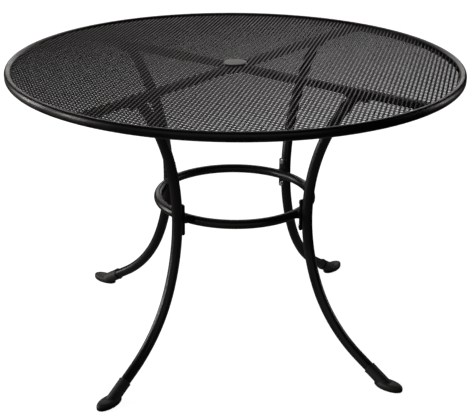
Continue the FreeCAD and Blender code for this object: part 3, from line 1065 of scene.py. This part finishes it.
@dataclass
class UmbrellaHole:
    """The bush that lines the umbrella hole, and the cap that plugs it."""

    shop: Workshop
    steps: int = 96
    bore_radius: float = 20.0 * MM
    bush_radius: float = 22.5 * MM
    bush_edge: float = 0.4 * MM
    seat_radius: float = 21.2 * MM
    seat_depth: float = 9.0 * MM
    flange_thickness: float = 1.2 * MM
    skirt_gap: float = 0.3 * MM
    skirt_wall: float = 1.8 * MM
    skirt_lead: float = 0.5 * MM
    head_thickness: float = 2.6 * MM
    head_edge: float = 1.1 * MM
    dome: float = 0.5 * MM
    dome_steps: int = 12

    def bush(self) -> None:
        """Make the bush."""
        low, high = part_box("pole_bush")
        soft = self.bush_edge
        seat_floor = high.z - self.seat_depth
        under_flange = high.z - self.flange_thickness
        profile = [
            (self.bore_radius + soft, low.z),
            (self.bush_radius - soft, low.z),
            (self.bush_radius, low.z + soft),
            (self.bush_radius, under_flange),
            (high.x - soft, under_flange),
            *corner_arc((high.x - soft, high.z - soft), soft, 0, 4),
            (self.seat_radius + soft, high.z),
            (self.seat_radius, high.z - soft),
            (self.seat_radius, seat_floor),
            (self.bore_radius + soft, seat_floor),
            (self.bore_radius, seat_floor - soft),
            (self.bore_radius, low.z + soft),
        ]
        mesh = revolve("bush_sleeve", profile, self.steps)
        self.shop.place("bush_sleeve", mesh, Slot.BUSH, node="pole_bush")

    def cap(self) -> None:
        """Make the cap: a slightly domed head with a soft edge, and its hollow skirt."""
        low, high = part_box("umbrella_hole_cap")
        seat = high.z - self.head_thickness
        rim_top = high.z - self.dome
        flat = high.x - self.head_edge
        outer = self.seat_radius - self.skirt_gap
        inner = outer - self.skirt_wall
        lead = self.skirt_lead
        profile = [
            (0.0, seat),
            (inner, seat),
            (inner, low.z + lead / 2),
            (inner + lead / 2, low.z),
            (outer - lead, low.z),
            (outer, low.z + 2 * lead),
            (outer, seat),
            (high.x - lead / 2, seat),
            (high.x, seat + lead / 2),
            *corner_arc((flat, rim_top - self.head_edge), self.head_edge, 0, 8),
        ]
        for step in range(1, self.dome_steps + 1):
            share = 1 - step / self.dome_steps
            profile.append((flat * share, rim_top + self.dome * (1 - share ** 2)))
        mesh = revolve("cap_plug", profile, self.steps)
        self.shop.place("cap_plug", mesh, Slot.CAP, Body.CAP, "umbrella_hole_cap")

    def build(self) -> None:
        """Make the bush and its cap."""
        self.bush()
        self.cap()


def bend_point(radius: float, angle: float) -> Vector:
    """A place on a bend that leaves the upright at the origin, seen after a turn upwards."""
    return Vector((radius * (1 - math.cos(angle)), 0, radius * math.sin(angle)))


@dataclass
class LegShape:
    """The bent centre line of a leg in the upright plane at azimuth 0."""

    waist_radius: float = 216.0 * MM
    waist_height: float = 380.0 * MM
    top_radius: float = 331.0 * MM
    top_height: float = 685.0 * MM
    end_radius: float = 439.0 * MM
    end_height: float = 16.0 * MM
    end_straight: float = 72.5 * MM
    shin_slope: float = math.radians(22)
    end_slope: float = math.radians(58)
    thigh_steps: int = 40
    shin_steps: int = 18
    ankle_steps: int = 24

    def thigh_bend(self) -> float:
        """The radius of the bend above the waist.

        Returns:
            The radius.
        """
        rise = self.top_height - self.waist_height
        spread = self.top_radius - self.waist_radius
        return (rise ** 2 + spread ** 2) / (2 * spread)

    def lower_bends(self) -> Spot:
        """The radii of the shin's and the ankle's bends, from where the tube has to end.

        Returns:
            The shin's radius and the ankle's.
        """
        reach = self.end_radius - self.waist_radius - self.end_straight * math.sin(self.end_slope)
        drop = self.waist_height - self.end_height - self.end_straight * math.cos(self.end_slope)
        terms = np.array([
            [1 - math.cos(self.shin_slope), math.cos(self.shin_slope) - math.cos(self.end_slope)],
            [math.sin(self.shin_slope), math.sin(self.end_slope) - math.sin(self.shin_slope)],
        ])
        shin, ankle = np.linalg.solve(terms, [reach, drop])
        return float(shin), float(ankle)

    def direction(self) -> Vector:
        """The way the straight lower end points."""
        return Vector((math.sin(self.end_slope), 0, -math.cos(self.end_slope)))

    def end(self) -> Vector:
        """The middle of the tube's lower end."""
        return Vector((self.end_radius, 0, self.end_height))

    def slope_at_top(self) -> float:
        """The tube's slope from upright where it meets its top plate."""
        return math.asin((self.top_height - self.waist_height) / self.thigh_bend())

    def path(self, past_top: float) -> list[Vector]:
        """Points from past the top down to the lower end.

        Args:
            past_top: How far the path runs on above the top plate's underside.

        Returns:
            The points of the path.
        """
        waist = Vector((self.waist_radius, 0, self.waist_height))
        thigh = self.thigh_bend()
        shin, ankle = self.lower_bends()
        top_angle = self.slope_at_top() + past_top / thigh
        points = []
        for angle in np.linspace(top_angle, 0, self.thigh_steps, endpoint=False):
            points.append(waist + bend_point(thigh, angle))
        for angle in np.linspace(0, self.shin_slope, self.shin_steps, endpoint=False):
            points.append(waist + bend_point(shin, -angle))
        knee = waist + bend_point(shin, -self.shin_slope)
        centre = knee + Vector((math.cos(self.shin_slope), 0, math.sin(self.shin_slope))) * ankle
        for angle in np.linspace(self.shin_slope, self.end_slope, self.ankle_steps, endpoint=False):
            points.append(centre - Vector((math.cos(angle), 0, math.sin(angle))) * ankle)
        for share in (1.0, 0.5, 0.0):
            points.append(self.end() - self.direction() * self.end_straight * share)
        return points


@dataclass
class Legs:
    """The four bent legs with their top plates and shoes."""

    shop: Workshop
    welder: WeldBead
    shape: LegShape
    radius: float = 12.5 * MM
    steps: int = 36
    path_past_top: float = 31.25 * MM
    plate_bevel: float = 0.7 * MM
    plate_corner: float = 4.0 * MM
    plate_width: float = 26.0 * MM
    plate_inside: float = 25.0 * MM
    plate_outside: float = 36.0 * MM
    bead_width: float = 3.6 * MM
    bead_below: float = 0.8 * MM
    bead_steps: int = 40
    shoe_wall: float = 2.2 * MM
    shoe_sleeve: float = 38.0 * MM
    shoe_toe_run: float = 24.0 * MM
    shoe_length: float = 74.0 * MM
    shoe_width: float = 36.0 * MM
    shoe_height: float = 16.0 * MM
    shoe_heel: float = 15.0 * MM
    shoe_round: float = 6.0 * MM
    shoe_steps: int = 64
    sleeve_steps: int = 48
    sleeve_floor: float = 2.5 * MM
    sole_round: float = 2.0 * MM
    sole_flat_below: float = 0.9 * MM
    grain: float = 1.1 * MM
    softening: float = 0.5
    softening_rounds: int = 7
    lip_radius: float = 1.3 * MM
    lip_below_end: float = 1.2 * MM
    lip_sunk: float = 0.5 * MM
    lip_steps: int = 12

    def tube(self) -> Mesh:
        """One leg, cut level under its top plate.

        Returns:
            The leg's mesh, at azimuth 0.
        """
        path = self.shape.path(self.path_past_top)
        mesh = tube_along("leg", path, circle(self.radius, self.steps))
        return cut_level(mesh, self.shape.top_height, keep_below=True)

    def top_plate(self) -> Mesh:
        """The plate on a leg's top, at azimuth 0.

        Returns:
            The plate's mesh.
        """
        low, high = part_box("leg_top_plate_back_right")
        half = self.plate_width / 2
        inner = self.shape.top_radius - self.plate_inside
        outer = self.shape.top_radius + self.plate_outside
        edge = rounded_box((inner, -half), (outer, half), self.plate_corner, 6)
        return plate("top_plate", edge, low.z, high.z, self.plate_bevel)

    def top_bead(self) -> Mesh:
        """The bead where a leg meets its top plate.

        Returns:
            The bead's mesh, at azimuth 0.
        """
        middle = self.shape.top_radius
        stretch = 1 / math.cos(self.shape.slope_at_top())
        height = self.shape.top_height - self.bead_below
        path = [(middle + x * stretch, y, height) for x, y in circle(self.radius, self.bead_steps)]
        return self.welder.along("top_bead", path, self.bead_width, closed=True)

    def pad(self) -> Mesh:
        """A shoe's long oval pad, with a rounded upper edge and a softened sole.

        Returns:
            The pad's mesh, at azimuth 0.
        """
        middle = self.shape.end_radius - self.shoe_heel + self.shoe_length / 2
        half_length, half_width = self.shoe_length / 2, self.shoe_width / 2
        shoulder = self.shoe_height - self.shoe_round
        rows = [(1 - self.sole_round / half_width, 0.0), (1.0, self.sole_round), (1.0, shoulder)]
        for angle in (math.radians(30), math.radians(60), math.radians(90)):
            inset = self.shoe_round * (1 - math.cos(angle)) / half_width
            rows.append((1 - inset, shoulder + self.shoe_round * math.sin(angle)))
        points = []
        for share, height in rows:
            for x, y in circle(1.0, self.shoe_steps):
                points.append((middle + x * half_length * share, y * half_width * share, height))
        return mesh_of("pad", points, capped_quads(len(rows), self.shoe_steps))

    def sleeve(self) -> Mesh:
        """A shoe's round sleeve, cut off a little over the sole.

        Returns:
            The sleeve's mesh, at azimuth 0.
        """
        direction = self.shape.direction()
        start = self.shape.end() - direction * self.shoe_sleeve
        length = self.shoe_sleeve + self.shoe_toe_run
        path = [start + direction * length * share for share in (0, 0.5, 1)]
        mesh = tube_along("sleeve", path, circle(self.radius + self.shoe_wall, self.sleeve_steps))
        return cut_level(mesh, self.sleeve_floor, keep_below=False)

    def melted(self, mesh: Mesh) -> Mesh:
        """Melt crossing forms into one skin with soft inner corners, its sole kept flat.

        Args:
            mesh: The crossing forms.

        Returns:
            The one skin.
        """
        carrier = linked("shoe_carrier", mesh)
        remesh = carrier.modifiers.new("Skin", "REMESH")
        remesh.mode = "VOXEL"
        remesh.voxel_size = self.grain
        soften = carrier.modifiers.new("Soften", "SMOOTH")
        soften.factor = self.softening
        soften.iterations = self.softening_rounds
        made = baked(carrier, "shoe_skin")
        for vertex in made.vertices:
            if vertex.co.z < self.sole_flat_below:
                vertex.co.z = 0.0
        return made

    def sleeve_lip(self) -> Mesh:
        """The thin moulded lip at the top of a shoe's sleeve.

        Returns:
            The lip's mesh, at azimuth 0.
        """
        direction = self.shape.direction()
        centre = self.shape.end() - direction * (self.shoe_sleeve - self.lip_below_end)
        across = SIDEWAYS.cross(direction)
        middle = self.radius + self.shoe_wall - self.lip_sunk
        points = []
        for x, y in circle(1.0, self.shoe_steps):
            radial = across * x + SIDEWAYS * y
            for u, v in circle(self.lip_radius, self.lip_steps):
                points.append(centre + radial * (middle + u) + direction * v)
        return mesh_of("lip", points, quads(self.shoe_steps, self.lip_steps, True))

    def build(self) -> None:
        """Make all four legs."""
        skin = self.melted(joined("shoe", [self.pad(), self.sleeve()]))
        self.shop.place_at_legs(
            ("leg_tube", self.tube(), Slot.FRAME, "leg"),
            ("top_plate", self.top_plate(), Slot.FRAME, "leg_top_plate"),
            ("top_weld", self.top_bead(), Slot.FRAME, None),
            ("shoe", joined("shoe_with_lip", [skin, self.sleeve_lip()]), Slot.FOOT, "foot_cap"),
        )


@dataclass
class Brace:
    """The ring at the legs' waist and the plates that join it to them."""

    shop: Workshop
    welder: WeldBead
    tube_radius: float = 11.0 * MM
    ring_steps: int = 224
    tube_steps: int = 28
    plate_face: float = 199.5 * MM
    plate_thickness: float = 4.0 * MM
    plate_width: float = 20.0 * MM
    plate_corner: float = 4.0 * MM
    saddle: float = 1.0 * MM
    lug_height: float = 18.0 * MM
    lug_cradle: float = 3.0 * MM
    lug_into_plate: float = 1.0 * MM
    lug_corner: float = 0.6 * MM
    bevel: float = 0.6 * MM
    bead_width: float = 3.2 * MM
    bead_spread: float = math.radians(52)

    def ring(self) -> Spot:
        """Make the ring.

        Returns:
            The ring's middle radius and its height.
        """
        low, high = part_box("brace_ring")
        middle = (high.x - self.tube_radius, (low.z + high.z) / 2)
        mesh = revolve("brace_ring_tube", circle(self.tube_radius, self.tube_steps, middle), self.ring_steps)
        self.shop.place("brace_ring_tube", mesh, Slot.FRAME, node="brace_ring")
        return middle

    def brace_plate(self, radius: float, height: float) -> Mesh:
        """One upright plate with its lug, at azimuth 0.

        Args:
            radius: The ring's middle radius.
            height: The ring's height.

        Returns:
            The mesh of both.
        """
        low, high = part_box("brace_plate_back_right")
        half, face = self.plate_width / 2, self.plate_face
        edge = rounded_box((-half, low.z), (half, high.z), self.plate_corner, 6)
        flat = plate("flat", edge, face, face + self.plate_thickness + self.saddle, self.bevel)
        own_axes_to_y_z_x = Matrix(((0, 0, 1, 0), (1, 0, 0, 0), (0, 1, 0, 0), (0, 0, 0, 1)))
        flat.transform(own_axes_to_y_z_x)
        start = radius + self.tube_radius - self.lug_cradle
        edge = rounded_box((start, -half), (face + self.lug_into_plate, half), self.lug_corner, 2)
        lug = plate("lug", edge, height - self.lug_height / 2, height + self.lug_height / 2, self.bevel)
        return joined("brace_plate", [outward(flat), lug])

    def bead(self, radius: float, height: float) -> Mesh:
        """The bead round the place where the ring lies in a lug.

        Args:
            radius: The ring's middle radius.
            height: The ring's height.

        Returns:
            The bead's mesh.
        """
        half = self.plate_width / 2
        angles = np.linspace(-self.bead_spread, self.bead_spread, BEAD_STEPS)
        side = arc((radius, height), self.tube_radius, angles)
        path = [(x, half, z) for x, z in side]
        path += [(side[-1][0], y, side[-1][1]) for y in crossing(half)]
        path += [(x, -half, z) for x, z in reversed(side)]
        path += [(side[0][0], -y, side[0][1]) for y in crossing(half)]
        return self.welder.along("ring_bead", path, self.bead_width, closed=True)

    def build(self) -> None:
        """Make the ring, the plates and their beads."""
        middle = self.ring()
        self.shop.place_at_legs(
            ("brace_joint", self.brace_plate(*middle), Slot.FRAME, "brace_plate"),
            ("ring_weld", self.bead(*middle), Slot.FRAME, None),
        )


@dataclass(frozen=True)
class HexBolt:
    """The sizes of a hexagon bolt, whose thread is cut as rings."""

    radius: float
    length: float
    flats: float
    head: float
    pitch: float
    steps: int = 48
    face_share: float = 0.30
    chamfer_share: float = 0.86
    chamfer_height: float = 0.06
    tip: float = 1.0 * MM
    tip_share: float = 0.8

    def mesh(self) -> Mesh:
        """A bolt along +Z, with its head's underside at height 0 and the head below.

        Returns:
            The bolt's mesh.
        """
        corner = self.flats / math.sqrt(3)
        sixth = math.pi / 3
        head_rows = [
            (self.face_share, -self.head),
            (self.chamfer_share, -self.head),
            (1.0, -self.head + self.flats * self.chamfer_height),
            (1.0, 0.0),
        ]
        points = []
        for share, height in head_rows:
            for x, y in circle(1.0, self.steps):
                angle = math.atan2(y, x)
                facet = math.cos(sixth / 2) / math.cos((angle + sixth / 2) % sixth - sixth / 2)
                reach = corner * min(facet, share)
                points.append((reach * x, reach * y, height))
        half_pitch = self.pitch / 2
        shank = [(self.radius, 0.0)]
        for step in range(int((self.length - self.tip) / half_pitch)):
            depth = 0.0 if step % 2 else half_pitch
            shank.append((self.radius - depth, (step + 1) * half_pitch))
        shank.append((self.radius * self.tip_share, self.length))
        for reach, height in shank:
            points += [(x, y, height) for x, y in circle(reach, self.steps)]
        return mesh_of("bolt", points, capped_quads(len(head_rows) + len(shank), self.steps))


@dataclass(frozen=True)
class Washer:
    """The sizes of a flat washer."""

    radius: float
    hole: float
    thickness: float = 1.6 * MM
    edge: float = 0.3 * MM
    steps: int = 48

    def mesh(self) -> Mesh:
        """A washer from height 0 up, with softened edges."""
        section = rounded_box((self.hole, 0.0), (self.radius, self.thickness), self.edge, 2)
        return revolve("washer", section, self.steps)


@dataclass
class Fasteners:
    """Bolts and washers, made once and set round the table by a node tree."""

    shop: Workshop
    shape: LegShape
    brace: Brace
    top_bolt: HexBolt = HexBolt(4 * MM, 16 * MM, 13 * MM, 5.3 * MM, 1.25 * MM)
    top_washer: Washer = Washer(8 * MM, 4.5 * MM)
    top_bolt_outside: float = 26.0 * MM
    brace_bolt: HexBolt = HexBolt(3 * MM, 15 * MM, 10 * MM, 4 * MM, 1 * MM)
    brace_washer: Washer = Washer(6 * MM, 3.5 * MM)
    brace_bolt_spacing: float = 61.0 * MM
    brace_height: float = 374.0 * MM

    def tree(self) -> NodeTree:
        """Build the tree that sets one mesh at every leg, on one level or more.

        Returns:
            The tree.
        """
        tree = NodeTree("fastener_ring")
        tree.ask("NodeSocketFloat", "First Angle", "Level Rise")
        tree.ask("NodeSocketInt", "Legs", "Levels")
        tree.ask("NodeSocketMaterial", "Finish")
        row = {"Count": tree.times("Legs", "Levels"), "Offset": (0.0, 0.0, 0.0)}
        line = tree.add("GeometryNodeMeshLine", row).outputs["Mesh"]
        index = tree.add("GeometryNodeInputIndex").outputs[0]
        level = tree.math("FLOOR", tree.math("DIVIDE", index, "Legs"))
        turn = tree.times(index, tree.math("DIVIDE", 2 * math.pi, "Legs"))
        rise = tree.vector(0.0, 0.0, tree.times(level, "Level Rise"))
        places = tree.add("GeometryNodeSetPosition", {"Geometry": line, "Offset": rise}).outputs[0]
        rotation = tree.rotation(0.0, 0.0, tree.math("ADD", "First Angle", turn))
        tree.close(tree.set_on(places, "Geometry", rotation))
        return tree

    def build(self) -> None:
        """Make both sets of bolts and washers."""
        tree = self.tree()
        top_radius = self.shape.top_radius + self.top_bolt_outside
        top_height = self.shape.top_height - self.top_washer.thickness
        brace_radius = self.brace.plate_face - self.brace_washer.thickness
        low_bolt = self.brace_height - self.brace_bolt_spacing / 2
        at_top = Matrix.Translation((top_radius, 0, top_height))
        at_brace = Matrix.Translation((brace_radius, 0, low_bolt)) @ Matrix.Rotation(math.pi / 2, 4, "Y")
        sets = [
            ("top_bolt_set", self.top_bolt, at_top, 1, "top_bolts"),
            ("top_washer_set", self.top_washer, at_top, 1, "top_washers"),
            ("brace_bolt_set", self.brace_bolt, at_brace, 2, "brace_bolts"),
            ("brace_washer_set", self.brace_washer, at_brace, 2, "brace_washers"),
        ]
        for name, fastener, where, levels, node in sets:
            one = fastener.mesh()
            one.transform(where)
            made = tree.run(name, one, First_Angle=math.radians(LEG_AZIMUTHS["back_right"]),
                            Level_Rise=self.brace_bolt_spacing, Legs=len(LEG_AZIMUTHS), Levels=levels,
                            Finish=self.shop.finishes.by_slot[Slot.ZINC])
            self.shop.place(name, made, Slot.ZINC, node=node)


@dataclass
class Studio:
    """The floor, the lights and the camera."""

    camera_distance: float = 2.5062
    camera_side: float = -0.0017
    camera_height: float = 1.3661
    camera_azimuth: float = -97.1
    camera_pitch: float = 22.30
    camera_roll: float = 0.41
    camera_yaw: float = 0.12
    lens_mm: float = 83.56
    sensor_mm: float = 36.0
    floor_size: float = 40.0
    floor_glow: float = 0.93
    floor_cloud: float = 0.8
    floor_dark: Point = (0.60, 0.60, 0.60)
    floor_light: Point = (0.62, 0.62, 0.62)
    floor_roughness: float = 0.9
    light_colour: Point = (1.0, 0.97, 0.945)

    def floor(self) -> None:
        """Make the plain pale floor."""
        half = self.floor_size / 2
        corners = [(-half, -half, 0), (half, -half, 0), (half, half, 0), (-half, half, 0)]
        mesh = bpy.data.meshes.new("studio_floor")
        mesh.from_pydata(corners, [], [(0, 1, 2, 3)])
        floor = linked("studio_floor", mesh)
        shade = Shade("studio_white")
        clouds = shade.noise(self.floor_cloud, 2)
        look = {
            "Base Color": shade.tint(clouds, self.floor_dark, self.floor_light),
            "Roughness": self.floor_roughness,
            "Specular IOR Level": 0.0,
            "Emission Color": (1, 1, 1, 1),
            "Emission Strength": self.floor_glow,
        }
        for name, value in look.items():
            shade.join(value, shade.shader[name])
        mesh.materials.append(shade.material)
        floor.visible_diffuse = False
        floor.visible_glossy = False

    def surroundings(self) -> None:
        """Make the room behind the table white, with its light kept off the black paint."""
        world = bpy.data.worlds.new("studio_world")
        world.use_nodes = True
        background = world.node_tree.nodes["Background"]
        background.inputs["Color"].default_value = (1, 1, 1, 1)
        background.inputs["Strength"].default_value = 1.0
        world.cycles_visibility.diffuse = False
        world.cycles_visibility.glossy = False
        bpy.context.scene.world = world

    def softbox(self, name: str, place: Point, target: Point, size: Spot, power: float) -> None:
        """Hang a rectangular soft light.

        Args:
            name: The light's name.
            place: Where it hangs.
            target: The point it faces.
            size: Its width and height.
            power: Its power in watts.
        """
        data = bpy.data.lights.new(name, "AREA")
        data.shape = "RECTANGLE"
        data.size, data.size_y = size
        data.energy = power
        data.color = self.light_colour
        light = linked(name, data)
        light.visible_camera = False
        light.location = place
        light.rotation_euler = (Vector(target) - Vector(place)).to_track_quat("-Z", "Y").to_euler()

    def around(self, azimuth: float, distance: float, height: float) -> Point:
        """A place round the table, with its azimuth counted from the camera's view direction."""
        angle = math.radians(self.camera_azimuth + 90 + azimuth)
        return (distance * math.cos(angle), distance * math.sin(angle), height)

    def lights(self) -> None:
        """Hang the soft lights."""
        waist = (0.0, 0.0, 0.4)
        top = (0.0, 0.0, 0.7)
        self.softbox("low_back", self.around(92, 4.6, 1.9), top, (5.4, 0.95), 37)
        self.softbox("left_strip", self.around(165, 3.0, 0.9), waist, (0.5, 1.6), 34)
        self.softbox("left_streak", self.around(194, 3.0, 0.8), waist, (0.25, 1.5), 30)
        self.softbox("right_strip", self.around(20, 3.0, 0.9), waist, (0.3, 1.6), 10)
        self.softbox("high_back", self.around(92, 2.6, 2.6), top, (3.4, 0.8), 8)
        self.softbox("overhead", self.around(90, 0.3, 3.2), top, (1.6, 1.6), 2)
        self.softbox("front_fill", self.around(268, 3.4, 1.2), waist, (6.0, 3.0), 15)
        self.softbox("floor_bounce", self.around(270, 0.3, 0.01), self.around(270, 0.3, 1.0), (1.6, 1.6), 0.7)

    def camera(self) -> None:
        """Set the camera where the photograph was taken from."""
        pitch = math.radians(self.camera_pitch)
        roll = math.radians(self.camera_roll)
        yaw = math.radians(self.camera_yaw)
        forward = Vector((math.sin(yaw) * math.cos(pitch), math.cos(yaw) * math.cos(pitch), -math.sin(pitch)))
        level = Vector((math.cos(yaw), -math.sin(yaw), 0))
        upward = level.cross(forward)
        right = level * math.cos(roll) + upward * math.sin(roll)
        up = upward * math.cos(roll) - level * math.sin(roll)
        turn = Matrix(((*right, 0), (*up, 0), (*(-forward), 0), (0, 0, 0, 1))).transposed()
        place = Matrix.Translation((self.camera_side, -self.camera_distance, self.camera_height)) @ turn
        data = bpy.data.cameras.new("photo_camera")
        data.lens = self.lens_mm
        data.sensor_width = self.sensor_mm
        camera = linked("photo_camera", data)
        camera.matrix_world = Matrix.Rotation(math.radians(self.camera_azimuth + 90), 4, "Z") @ place
        bpy.context.scene.camera = camera

    def build(self) -> None:
        """Set up the whole studio."""
        bpy.context.scene.view_settings.view_transform = "Standard"
        self.floor()
        self.surroundings()
        self.lights()
        self.camera()


def dress_kept_nodes(frame: dict, finishes: Finishes) -> None:
    """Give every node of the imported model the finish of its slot.

    Args:
        finishes: The built finishes.
    """
    slots = {row["node"]: Slot(row["material_slot"]) for row in frame["record"]["subparts"]}
    for name, node in frame["nodes"].items():
        finishes.dress(node.data, slots[name])


def main() -> None:
    """Build the dressed table and its studio."""
    logging.basicConfig(level=logging.INFO, format="%(name)s %(message)s")
    for stray in list(bpy.data.objects):
        bpy.data.objects.remove(stray)
    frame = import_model()
    finishes = Finishes.build()
    shop = Workshop(finishes)
    welder = WeldBead(finishes.by_slot[Slot.FRAME])
    dress_kept_nodes(frame, finishes)
    TopFrame(shop, welder).build()
    ExpandedSheet(shop).build()
    UmbrellaHole(shop).build()
    shape = LegShape()
    Legs(shop, welder, shape).build()
    brace = Brace(shop, welder)
    brace.build()
    Fasteners(shop, shape, brace).build()
    Studio().build()
    bpy.context.view_layer.update()


if __name__ == "__main__":
    main()
